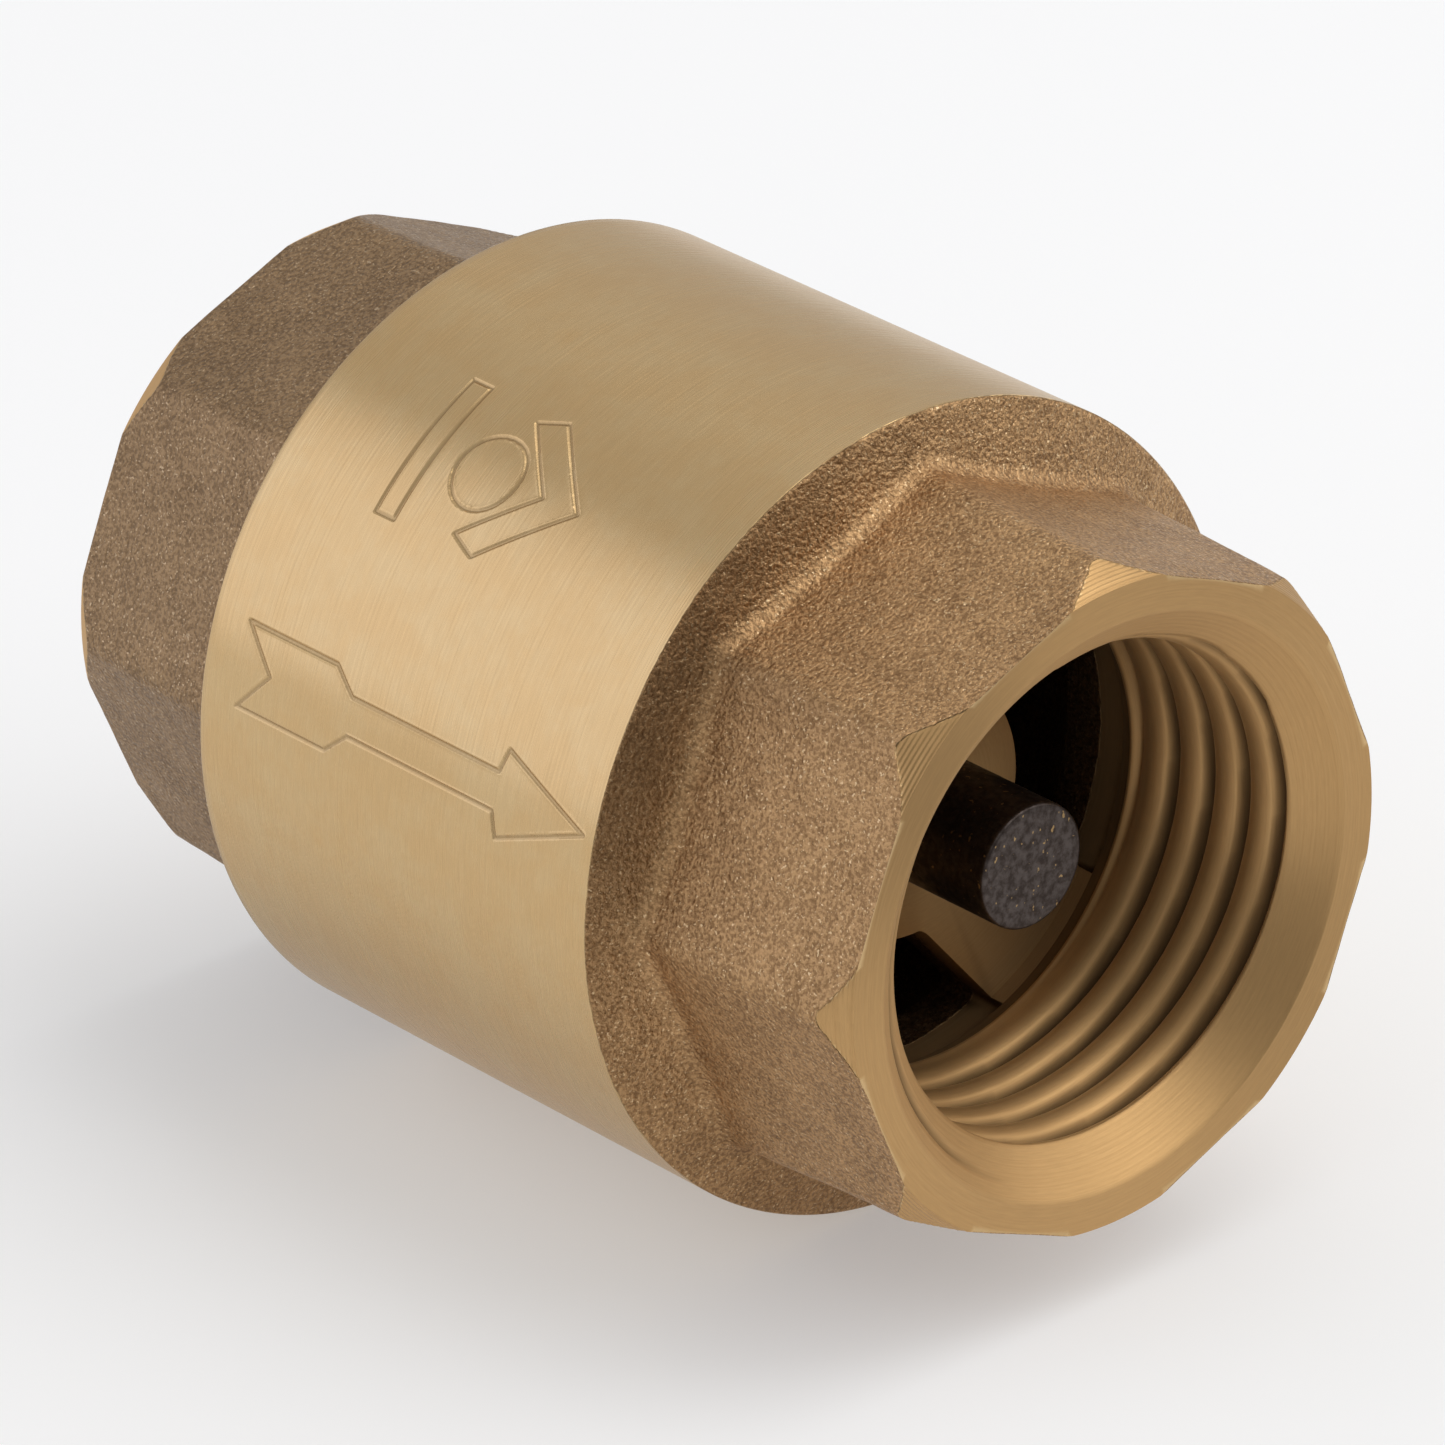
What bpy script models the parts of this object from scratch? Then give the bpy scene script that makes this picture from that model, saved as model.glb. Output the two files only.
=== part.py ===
# In-line spring check valve, G 1/2 female at both ends.
# It lies with its flow axis along +X: the inlet face is at x = 0 and the outlet is at +X.
# Each piece is drawn along its own Z, and the empty valve_axis lays them all along X.
import math

import bpy

# Driving dimensions, metres
GAP = 0.0003  # left between pieces that touch
SHELL_R = 0.0155
SHELL_LENGTH = 0.0215
INLET_NOSE_LENGTH = 0.0104
OUTLET_NOSE_LENGTH = 0.0106
ACROSS_FLATS = 0.025
FLATS = 8
NOSE_CHAMFER_LAND = 0.0001  # how far the face circle stands outside the flats
NOSE_CHAMFER_ANGLE = math.radians(60)  # from the end face
SHOULDER_DEPTH = 0.0012  # axial length of the sloping cast shoulder
SHOULDER_INNER_R = 0.0120
SHELL_EDGE = 0.0003  # broken edge at the back of the shell

THREAD_MINOR_R = 0.009316  # G 1/2 female thread
THREAD_LENGTH = 0.0092
COUNTERSINK_R = 0.0111
COUNTERSINK_DEPTH = 0.0014
COUNTERBORE_R = 0.0097  # plain bore between the outlet thread and the spider

SPIGOT_R = 0.0115  # male thread of the cap
SPIGOT_LENGTH = 0.0052  # from the back of the shell to the seat face
THROAT_R = 0.0068
SEAT_LIP_WIDTH = 0.0006
SEAT_LIP_HEIGHT = 0.0006
SEAT_LIP_OFFSET = 0.0003  # from the throat to the lip
RING_GROOVE_WIDTH = 0.0020
RING_GROOVE_DEPTH = 0.0016
RING_GROOVE_END_LAND = 0.0007

CHAMBER_R = 0.0114
WINDOW_R = 0.0102
WINDOW_NOTCH = 0.0007  # how far the windows cut into the counterbore
CHAMBER_TAPER = 0.0016  # axial length of the cone into the windows
ARMS = 3
ARM_WIDTH = 0.0058
ARM_THICKNESS = 0.0028
ARM_ANGLE = math.radians(40)  # of the first arm, about the flow axis
HUB_R = 0.0050

STEM_R = 0.0024
STEM_CLEARANCE = 0.0003  # running clearance in the hub, on the radius
STEM_REACH = 0.0062  # past the hub, with the valve closed
STEM_THREAD_R = 0.0020  # M4
STEM_THREAD_END = 0.0008  # past the nut
STEM_END_CHAMFER = 0.0003
LIFT = 0.0035

SEAL_THICKNESS = 0.0018
SEAL_OVERLAP = 0.0007  # outside the seat lip
DISC_THICKNESS = 0.0016
DISC_RIM_WALL = 0.0006
DISC_RIM_SETBACK = 0.0006  # of the rim behind the seal's face
BOSS_R = 0.0048
BOSS_HEIGHT = 0.0012
RETAINER_THICKNESS = 0.0013
RETAINER_CLEARANCE = 0.0012  # in the throat, on the radius
LOCK_WASHER_THICKNESS = 0.0007
LOCK_WASHER_R = 0.0038
LOCK_WASHER_SLOT = 0.0008
NUT_ACROSS_FLATS = 0.0070
NUT_HEIGHT = 0.0026
NUT_CHAMFER_DROP = 0.0004

WIRE_R = 0.000325
SPRING_CLEARANCE = 0.0004  # over the hub, on the radius
SPRING_PITCH = 0.00174
SPRING_END_PITCH = 0.00125  # of the first and last turn
SPRING_WASHER_WIDTH = 0.0017
SPRING_WASHER_THICKNESS = 0.0005

TURNED_STEPS = 64
SMALL_STEPS = 40
COIL_POINTS = 16  # to a turn
PAST = 0.001  # how far a cutter runs past what it cuts

# Stations along the flow axis, from the inlet face
shell_back = INLET_NOSE_LENGTH
shell_front = shell_back + SHELL_LENGTH
outlet_face = shell_front + OUTLET_NOSE_LENGTH
seat_face = shell_back + SPIGOT_LENGTH
seat_top = seat_face + SEAT_LIP_HEIGHT
seal_face = seat_top + GAP
disc_face = seal_face + SEAL_THICKNESS + GAP
disc_back = disc_face + DISC_THICKNESS
boss_back = disc_back + BOSS_HEIGHT
hub_back = boss_back + LIFT + GAP
arm_back = shell_front - ARM_THICKNESS
retainer_face = seal_face - GAP - RETAINER_THICKNESS
lock_washer_face = retainer_face - GAP - LOCK_WASHER_THICKNESS
nut_face = lock_washer_face - GAP - NUT_HEIGHT
stem_start = nut_face - STEM_THREAD_END
stem_end = shell_front + STEM_REACH
spring_washer_face = arm_back - GAP - SPRING_WASHER_THICKNESS

# Radii that follow from their neighbours
nose_apothem = ACROSS_FLATS / 2
nose_corner_r = nose_apothem / math.cos(math.pi / FLATS)
seat_lip_inner_r = THROAT_R + SEAT_LIP_OFFSET
seat_lip_outer_r = seat_lip_inner_r + SEAT_LIP_WIDTH
seal_r = seat_lip_outer_r + SEAL_OVERLAP
spring_r = HUB_R + SPRING_CLEARANCE + WIRE_R
thread_bore_r = STEM_THREAD_R + GAP

brass_cast = (0.42, 0.27, 0.12)
brass_turned = (0.66, 0.50, 0.27)
brass_dark = (0.20, 0.13, 0.08)
nitrile = (0.025, 0.025, 0.027)
steel = (0.56, 0.56, 0.55)


def clear_scene():
    for thing in list(bpy.data.objects):
        bpy.data.objects.remove(thing, do_unlink=True)


def new_empty(name, parent, z=0.0):
    empty = bpy.data.objects.new(name, None)
    empty.empty_display_size = 0.01
    bpy.context.scene.collection.objects.link(empty)
    empty.parent = parent
    empty.location.z = z
    return empty


def cutter_collection():
    holder = bpy.data.collections.new("cutters")
    bpy.context.scene.collection.children.link(holder)
    holder.hide_render = True
    return holder


def paint(thing, colour, roughness, metallic):
    material = bpy.data.materials.new(thing.name)
    material.use_nodes = True
    shader = material.node_tree.nodes["Principled BSDF"]
    shader.inputs["Base Color"].default_value = (*colour, 1)
    shader.inputs["Roughness"].default_value = roughness
    shader.inputs["Metallic"].default_value = metallic
    thing.data.materials.append(material)


def turned(name, outline, steps=TURNED_STEPS, closed=False):
    # outline is (radius, z), down the outer side first; a closed one comes back up its bore
    points = [(r, 0, z) for r, z in outline]
    edges = [(i, i + 1) for i in range(len(points) - 1)]
    if closed:
        edges.append((len(points) - 1, 0))
    mesh = bpy.data.meshes.new(name)
    mesh.from_pydata(points, edges, [])
    thing = bpy.data.objects.new(name, mesh)
    bpy.context.scene.collection.objects.link(thing)
    screw = thing.modifiers.new("turn", "SCREW")
    screw.steps = steps
    screw.render_steps = steps
    screw.use_merge_vertices = True
    screw.merge_threshold = 1e-6
    return thing


def plain_ring(name, inner_r, outer_r, height, steps=TURNED_STEPS):
    outline = [(outer_r, height), (outer_r, 0), (inner_r, 0), (inner_r, height)]
    return turned(name, outline, steps, closed=True)


def rod(name, radius, bottom, top, steps=TURNED_STEPS):
    return turned(name, [(0, top), (radius, top), (radius, bottom), (0, bottom)], steps)


def prism(name, sides, corner_r, bottom, top):
    bpy.ops.mesh.primitive_cylinder_add(vertices=sides, radius=corner_r, depth=top - bottom)
    thing = bpy.context.object
    thing.name = name
    for vertex in thing.data.vertices:
        vertex.co.z += (top + bottom) / 2
    return thing


def box(name, size_x, size_y, size_z, centre):
    bpy.ops.mesh.primitive_cube_add(size=1)
    thing = bpy.context.object
    thing.name = name
    for vertex in thing.data.vertices:
        for axis, size in enumerate((size_x, size_y, size_z)):
            vertex.co[axis] = vertex.co[axis] * size + centre[axis]
    return thing


def place(thing, parent, z=0.0):
    thing.parent = parent
    thing.location.z = z
    return thing


def combine(target, helper, operation, parent):
    # helper is set aside with the cutters; parent is what both are placed on
    helper.parent = parent
    for holder in helper.users_collection:
        holder.objects.unlink(helper)
    cutters.objects.link(helper)
    helper.hide_render = True
    helper.display_type = "WIRE"
    step = target.modifiers.new(helper.name, "BOOLEAN")
    step.operation = operation
    step.solver = "EXACT"
    step.object = helper


def octagon_nose(name, face, inner_end):
    # A prism from its end face to inner_end, with the corners turned off at the face
    away = 1 if inner_end > face else -1
    nose = prism(name, FLATS, nose_corner_r, min(face, inner_end), max(face, inner_end))
    face_r = nose_apothem + NOSE_CHAMFER_LAND
    wide_r = nose_corner_r + PAST
    slope = math.tan(NOSE_CHAMFER_ANGLE)
    outside_r = face_r - PAST
    outline = [
        (wide_r, inner_end + away * PAST),
        (wide_r, face + away * (wide_r - face_r) * slope),
        (outside_r, face - away * PAST * slope),
    ]
    if away < 0:
        outline.reverse()
    full = [(0, outline[0][1]), *outline, (0, outline[-1][1])]
    combine(nose, turned(name + "_chamfer", full), "INTERSECT", valve_axis)
    return nose


def make_outlet_body():
    # One casting: octagon, shoulder, turned shell, and the spider that guides the stem
    body = turned(
        "outlet_body",
        [
            (0, shell_front + SHOULDER_DEPTH),
            (SHOULDER_INNER_R, shell_front + SHOULDER_DEPTH),
            (SHELL_R, shell_front),
            (SHELL_R, shell_back + SHELL_EDGE),
            (SHELL_R - SHELL_EDGE, shell_back),
            (0, shell_back),
        ],
    )
    place(body, valve_axis)
    nose = octagon_nose("outlet_nose", outlet_face, arm_back)
    combine(body, nose, "UNION", valve_axis)

    bore = turned(
        "outlet_bore",
        [
            (0, outlet_face + PAST),
            (COUNTERSINK_R, outlet_face + PAST),
            (COUNTERSINK_R, outlet_face),
            (THREAD_MINOR_R, outlet_face - COUNTERSINK_DEPTH),
            (THREAD_MINOR_R, outlet_face - THREAD_LENGTH),
            (COUNTERBORE_R, outlet_face - THREAD_LENGTH),
            (COUNTERBORE_R, shell_front),
            (0, shell_front),
        ],
    )
    combine(body, bore, "DIFFERENCE", valve_axis)

    # The chamber runs on through the windows, and leaves the hub and the arms standing
    window_end = shell_front + WINDOW_NOTCH
    chamber = turned(
        "chamber",
        [
            (0, window_end),
            (WINDOW_R, window_end),
            (WINDOW_R, arm_back),
            (CHAMBER_R, arm_back - CHAMBER_TAPER),
            (CHAMBER_R, seat_face + GAP),
            (SPIGOT_R + GAP, seat_face + GAP),
            (SPIGOT_R + GAP, shell_back - PAST),
            (0, shell_back - PAST),
        ],
    )
    combine(chamber, rod("hub", HUB_R, hub_back, window_end + PAST), "DIFFERENCE", valve_axis)
    for number in range(ARMS):
        arm = box(
            f"arm_{number}",
            WINDOW_R + PAST,
            ARM_WIDTH,
            window_end + PAST - arm_back,
            ((WINDOW_R + PAST) / 2, 0, (window_end + PAST + arm_back) / 2),
        )
        arm.rotation_euler.z = ARM_ANGLE + number * math.tau / ARMS
        combine(chamber, arm, "DIFFERENCE", valve_axis)
    combine(body, chamber, "DIFFERENCE", valve_axis)

    guide = rod("guide_bore", STEM_R + STEM_CLEARANCE, hub_back - PAST, shell_front + PAST, SMALL_STEPS)
    combine(body, guide, "DIFFERENCE", valve_axis)
    paint(body, brass_turned, 0.32, 1)


def make_inlet_cap():
    # Octagon with the inlet thread, and a spigot that screws into the shell and ends in the seat
    cap = octagon_nose("inlet_cap", 0, shell_back - GAP)
    place(cap, valve_axis)
    groove_top = seat_face - RING_GROOVE_END_LAND
    groove_bottom = groove_top - RING_GROOVE_WIDTH
    groove_r = SPIGOT_R - RING_GROOVE_DEPTH
    spigot = turned(
        "spigot",
        [
            (0, seat_top),
            (seat_lip_outer_r, seat_top),
            (seat_lip_outer_r, seat_face),
            (SPIGOT_R, seat_face),
            (SPIGOT_R, groove_top),
            (groove_r, groove_top),
            (groove_r, groove_bottom),
            (SPIGOT_R, groove_bottom),
            (SPIGOT_R, shell_back - 2 * PAST),
            (0, shell_back - 2 * PAST),
        ],
    )
    combine(cap, spigot, "UNION", valve_axis)
    bore = turned(
        "inlet_bore",
        [
            (0, seat_top + PAST),
            (seat_lip_inner_r, seat_top + PAST),
            (seat_lip_inner_r, seat_face),
            (THROAT_R, seat_face),
            (THROAT_R, THREAD_LENGTH),
            (THREAD_MINOR_R, THREAD_LENGTH),
            (THREAD_MINOR_R, COUNTERSINK_DEPTH),
            (COUNTERSINK_R, 0),
            (COUNTERSINK_R, -PAST),
            (0, -PAST),
        ],
    )
    combine(cap, bore, "DIFFERENCE", valve_axis)
    paint(cap, brass_cast, 0.5, 1)


def make_body_o_ring():
    # It fills its groove, less the gap on each side
    bore_r = SPIGOT_R + GAP
    groove_r = SPIGOT_R - RING_GROOVE_DEPTH
    section_r = (bore_r - groove_r) / 2 - GAP
    bpy.ops.mesh.primitive_torus_add(
        major_radius=(bore_r + groove_r) / 2,
        minor_radius=section_r,
        major_segments=TURNED_STEPS,
        minor_segments=10,
    )
    ring = bpy.context.object
    ring.name = "body_o_ring"
    place(ring, valve_axis, seat_face - RING_GROOVE_END_LAND - RING_GROOVE_WIDTH / 2)
    paint(ring, nitrile, 0.6, 0)


def make_valve_stem():
    # Drawn from its threaded end: the shoulder bears on the disc's boss
    length = stem_end - stem_start
    shoulder = boss_back + GAP - stem_start
    stem = turned(
        "valve_stem",
        [
            (0, length),
            (STEM_R - STEM_END_CHAMFER, length),
            (STEM_R, length - STEM_END_CHAMFER),
            (STEM_R, shoulder),
            (STEM_THREAD_R, shoulder),
            (STEM_THREAD_R, STEM_END_CHAMFER),
            (STEM_THREAD_R - STEM_END_CHAMFER, 0),
            (0, 0),
        ],
        SMALL_STEPS,
    )
    place(stem, poppet_axis, stem_start - seat_top)
    paint(stem, brass_dark, 0.3, 1)


def make_poppet_disc():
    # A cup round the seal, with a boss behind that centres the spring
    cup_r = seal_r + GAP
    rim = disc_face - seal_face - DISC_RIM_SETBACK
    disc = turned(
        "poppet_disc",
        [
            (BOSS_R, DISC_THICKNESS + BOSS_HEIGHT),
            (BOSS_R, DISC_THICKNESS),
            (cup_r + DISC_RIM_WALL, DISC_THICKNESS),
            (cup_r + DISC_RIM_WALL, -rim),
            (cup_r, -rim),
            (cup_r, 0),
            (thread_bore_r, 0),
            (thread_bore_r, DISC_THICKNESS + BOSS_HEIGHT),
        ],
        closed=True,
    )
    place(disc, poppet_axis, disc_face - seat_top)
    paint(disc, brass_turned, 0.35, 1)


def make_poppet_seal():
    seal = plain_ring("poppet_seal", thread_bore_r, seal_r, SEAL_THICKNESS)
    place(seal, poppet_axis, seal_face - seat_top)
    paint(seal, nitrile, 0.65, 0)


def make_seal_retainer():
    retainer = plain_ring(
        "seal_retainer", thread_bore_r, THROAT_R - RETAINER_CLEARANCE, RETAINER_THICKNESS
    )
    place(retainer, poppet_axis, retainer_face - seat_top)
    paint(retainer, brass_turned, 0.35, 1)


def make_lock_washer():
    # A split ring
    washer = plain_ring(
        "lock_washer", thread_bore_r, LOCK_WASHER_R, LOCK_WASHER_THICKNESS, SMALL_STEPS
    )
    place(washer, poppet_axis, lock_washer_face - seat_top)
    slot = box(
        "lock_washer_slot",
        LOCK_WASHER_R + PAST,
        LOCK_WASHER_SLOT,
        LOCK_WASHER_THICKNESS + 2 * PAST,
        (LOCK_WASHER_R / 2, 0, LOCK_WASHER_THICKNESS / 2),
    )
    slot.location.z = lock_washer_face - seat_top
    combine(washer, slot, "DIFFERENCE", poppet_axis)
    paint(washer, steel, 0.35, 1)


def make_stem_nut():
    # Hex nut with the corners turned off at its outer face
    corner_r = NUT_ACROSS_FLATS / math.sqrt(3)
    nut = prism("stem_nut", 6, corner_r, 0, NUT_HEIGHT)
    place(nut, poppet_axis, nut_face - seat_top)
    crown = turned(
        "stem_nut_crown",
        [
            (0, NUT_HEIGHT + PAST),
            (corner_r + PAST, NUT_HEIGHT + PAST),
            (corner_r + PAST, NUT_CHAMFER_DROP * 2),
            (corner_r - PAST, -NUT_CHAMFER_DROP * 2),
            (0, -NUT_CHAMFER_DROP * 2),
        ],
        SMALL_STEPS,
    )
    bore = rod("stem_nut_bore", thread_bore_r, -PAST, NUT_HEIGHT + PAST, SMALL_STEPS)
    for helper, operation in ((crown, "INTERSECT"), (bore, "DIFFERENCE")):
        helper.location.z = nut_face - seat_top
        combine(nut, helper, operation, poppet_axis)
    paint(nut, steel, 0.3, 1)


def make_closing_spring():
    # From the disc to the washer on the arms, with a closer turn at each end
    bottom = disc_back + GAP + WIRE_R
    top = spring_washer_face - GAP - WIRE_R
    middle_turns = (top - bottom - 2 * SPRING_END_PITCH) / SPRING_PITCH
    turns = middle_turns + 2
    count = round(turns * COIL_POINTS) + 1
    curve = bpy.data.curves.new("closing_spring", "CURVE")
    curve.dimensions = "3D"
    curve.bevel_depth = WIRE_R
    curve.bevel_resolution = 2
    curve.use_fill_caps = True
    wire = curve.splines.new("POLY")
    wire.points.add(count - 1)
    for number, point in enumerate(wire.points):
        turn = number / (count - 1) * turns
        height = min(turn, 1) * SPRING_END_PITCH
        height += min(max(turn - 1, 0), middle_turns) * SPRING_PITCH
        height += max(turn - 1 - middle_turns, 0) * SPRING_END_PITCH
        angle = turn * math.tau
        point.co = (spring_r * math.cos(angle), spring_r * math.sin(angle), height, 1)
    spring = bpy.data.objects.new("closing_spring", curve)
    bpy.context.scene.collection.objects.link(spring)
    place(spring, valve_axis, bottom)
    paint(spring, steel, 0.25, 1)


def make_spring_washer():
    washer = plain_ring(
        "spring_washer", HUB_R + GAP, HUB_R + GAP + SPRING_WASHER_WIDTH, SPRING_WASHER_THICKNESS
    )
    place(washer, valve_axis, spring_washer_face)
    paint(washer, steel, 0.35, 1)


clear_scene()
cutters = cutter_collection()
valve_axis = new_empty("valve_axis", None)
valve_axis.rotation_euler.y = math.pi / 2
poppet_axis = new_empty("poppet_axis", valve_axis, seat_top)

make_outlet_body()
make_inlet_cap()
make_body_o_ring()
make_valve_stem()
make_poppet_disc()
make_poppet_seal()
make_seal_retainer()
make_lock_washer()
make_stem_nut()
make_closing_spring()
make_spring_washer()
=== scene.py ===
import math

import bmesh
import bpy
import numpy as np
from mathutils import Matrix, Vector, noise


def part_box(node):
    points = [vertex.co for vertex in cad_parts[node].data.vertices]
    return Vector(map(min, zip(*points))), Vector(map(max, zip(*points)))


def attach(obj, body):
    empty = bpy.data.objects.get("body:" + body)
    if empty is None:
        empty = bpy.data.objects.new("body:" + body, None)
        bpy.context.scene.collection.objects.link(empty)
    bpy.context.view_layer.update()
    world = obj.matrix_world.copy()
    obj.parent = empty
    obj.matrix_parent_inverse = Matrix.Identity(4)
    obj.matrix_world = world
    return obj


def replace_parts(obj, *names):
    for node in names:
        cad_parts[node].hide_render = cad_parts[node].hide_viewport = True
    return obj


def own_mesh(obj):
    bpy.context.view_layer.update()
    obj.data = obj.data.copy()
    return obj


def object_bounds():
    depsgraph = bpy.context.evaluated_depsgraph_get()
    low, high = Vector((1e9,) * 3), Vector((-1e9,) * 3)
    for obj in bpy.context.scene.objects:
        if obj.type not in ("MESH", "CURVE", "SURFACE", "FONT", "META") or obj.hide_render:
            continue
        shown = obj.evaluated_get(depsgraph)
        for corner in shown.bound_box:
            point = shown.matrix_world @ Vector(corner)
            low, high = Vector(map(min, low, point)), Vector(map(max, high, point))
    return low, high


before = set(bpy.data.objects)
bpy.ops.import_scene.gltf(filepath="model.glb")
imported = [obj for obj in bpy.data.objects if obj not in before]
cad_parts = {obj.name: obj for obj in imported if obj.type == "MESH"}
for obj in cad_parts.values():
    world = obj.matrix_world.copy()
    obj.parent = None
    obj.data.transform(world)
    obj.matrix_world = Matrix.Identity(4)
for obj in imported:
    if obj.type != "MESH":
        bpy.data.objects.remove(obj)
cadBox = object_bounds()
mm = 0.001

# small helpers


def nodeBox(node):
    # where a CAD piece starts and ends along the flow, and its outer radius, in mm
    low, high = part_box(node)
    return low.x / mm, high.x / mm, high.z / mm


def turnProfile(profile, steps, closed=True):
    # spins a profile of (station, radius) pairs in mm about the flow axis
    shape = bmesh.new()
    points = [shape.verts.new((x * mm, 0, r * mm)) for x, r in profile]
    lines = [shape.edges.new(pair) for pair in zip(points, points[1:])]
    if closed:
        lines.append(shape.edges.new((points[-1], points[0])))
    bmesh.ops.spin(shape, geom=points + lines, cent=(0, 0, 0), axis=(1, 0, 0), dvec=(0, 0, 0),
                   angle=math.tau, steps=steps, use_merge=True, use_duplicate=False)
    bmesh.ops.remove_doubles(shape, verts=shape.verts, dist=1e-7)
    bmesh.ops.recalc_face_normals(shape, faces=shape.faces)
    return shape


def cylindrical(shape):
    # station, radius and angle of every vertex, in mm and radians
    co = np.array([v.co for v in shape.verts]) / mm
    return co[:, 0], np.hypot(co[:, 1], co[:, 2]), np.arctan2(co[:, 2], co[:, 1])


def moveVerts(shape, x, r, angle):
    co = np.column_stack((x, r * np.cos(angle), r * np.sin(angle))) * mm
    for vert, place in zip(shape.verts, co):
        vert.co = place


def finishPiece(name, shape, body, material, sharpAngle, values=None, smoothInside=0.0):
    # turns a bmesh into a smooth piece that rides on a CAD body
    # no edge is left sharp inside the radius smoothInside, in mm
    mesh = bpy.data.meshes.new(name)
    shape.to_mesh(mesh)
    shape.free()
    mesh.shade_smooth()
    mesh.set_sharp_from_angle(angle=math.radians(sharpAngle))
    for edge in mesh.edges:
        if edge.use_edge_sharp:
            far = max(math.hypot(*mesh.vertices[i].co.yz) for i in edge.vertices)
            edge.use_edge_sharp = far > smoothInside * mm
    for key, numbers in (values or {}).items():
        layer = mesh.attributes.new(key, "FLOAT", "POINT")
        layer.data.foreach_set("value", np.asarray(numbers, np.float32))
    mesh.materials.append(material)
    piece = bpy.data.objects.new(name, mesh)
    bpy.context.scene.collection.objects.link(piece)
    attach(piece, body)
    return piece


def spaced(start, stop, step):
    # evenly spaced stations from start up to, but not including, stop
    count = max(1, round(abs(stop - start) / step))
    return [start + (stop - start) * i / count for i in range(count)]


def ripple(x, r, angle, size, seed):
    # slow unevenness of a sand casting, between about -1 and 1
    co = np.column_stack((x, r * np.cos(angle), r * np.sin(angle))) / size + seed
    return np.array([noise.noise(Vector(p)) for p in co])


# shader groups and materials


class Tree:
    # builds nodes in one material or group
    def __init__(self, tree):
        self.tree = tree

    def add(self, kind, inputs=None, **settings):
        node = self.tree.nodes.new(kind)
        for key, value in settings.items():
            setattr(node, key, value)
        for key, value in (inputs or {}).items():
            self.put(node.inputs[key], value)
        return node

    def put(self, socket, value):
        if isinstance(value, bpy.types.NodeSocket):
            self.tree.links.new(value, socket)
        else:
            socket.default_value = value

    def math(self, operation, a, b=0.0, clamp=False):
        node = self.add("ShaderNodeMath", {0: a, 1: b}, operation=operation, use_clamp=clamp)
        return node.outputs[0]

    def vector(self, operation, a, b=(0, 0, 0)):
        return self.add("ShaderNodeVectorMath", {0: a, 1: b}, operation=operation).outputs[0]

    def noise(self, vector, scale, detail=3.0, rough=0.55):
        node = self.add("ShaderNodeTexNoise", {"Scale": scale, "Detail": detail, "Roughness": rough})
        self.put(node.inputs["Vector"], vector)
        return node.outputs["Fac"]

    def lines(self, along, scale, detail=2.0, rough=0.6):
        node = self.add("ShaderNodeTexNoise", {"Scale": scale, "Detail": detail, "Roughness": rough},
                        noise_dimensions="1D")
        self.put(node.inputs["W"], along)
        return node.outputs["Fac"]

    def ramp(self, value, low, high, outLow=0.0, outHigh=1.0):
        node = self.add("ShaderNodeMapRange", {"From Min": low, "From Max": high, "To Min": outLow,
                                               "To Max": outHigh}, interpolation_type="SMOOTHSTEP")
        self.put(node.inputs["Value"], value)
        return node.outputs["Result"]

    def mix(self, factor, a, b, blend="MIX"):
        node = self.add("ShaderNodeMix", data_type="RGBA", blend_type=blend)
        self.put(node.inputs[0], factor)
        self.put(node.inputs[6], a if isinstance(a, bpy.types.NodeSocket) else (*a, 1))
        self.put(node.inputs[7], b if isinstance(b, bpy.types.NodeSocket) else (*b, 1))
        return node.outputs[2]

    def group(self, group, **inputs):
        node = self.add("ShaderNodeGroup", node_tree=group)
        for key, value in inputs.items():
            self.put(node.inputs[key], value)
        return node.outputs


def newGroup(name, inputs, outputs):
    # a shader group with a Vector input, number inputs with their starting values, and number outputs
    group = bpy.data.node_groups.new(name, "ShaderNodeTree")
    group.interface.new_socket(name="Vector", in_out="INPUT", socket_type="NodeSocketVector")
    for key, value in inputs.items():
        socket = group.interface.new_socket(name=key, in_out="INPUT", socket_type="NodeSocketFloat")
        socket.default_value = value
    for key in outputs:
        group.interface.new_socket(name=key, in_out="OUTPUT", socket_type="NodeSocketFloat")
    tree = Tree(group)
    return group, tree, tree.add("NodeGroupInput"), tree.add("NodeGroupOutput")


# scales are per metre
latheMarksSize = {
    "feed": 9000.0,
    "faceShare": 1.13,
    "wander": 0.00004,
    "wanderScale": 160.0,
    "bandScale": 700.0,
    "streaksAlong": 11000.0,
    "streaksAround": 12.0,
}
castSkinSize = {
    "grain": 3600.0,
    "cellShare": 0.8,
    "wideShare": 0.12,
    "glintShare": 1.25,
    "fineHeight": 1.2,
    "cellHeight": 0.5,
    "wideHeight": 1.6,
    "tops": (0.38, 0.62),
    "glints": (0.63, 0.73),
    "patchScale": 420.0,
}


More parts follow.
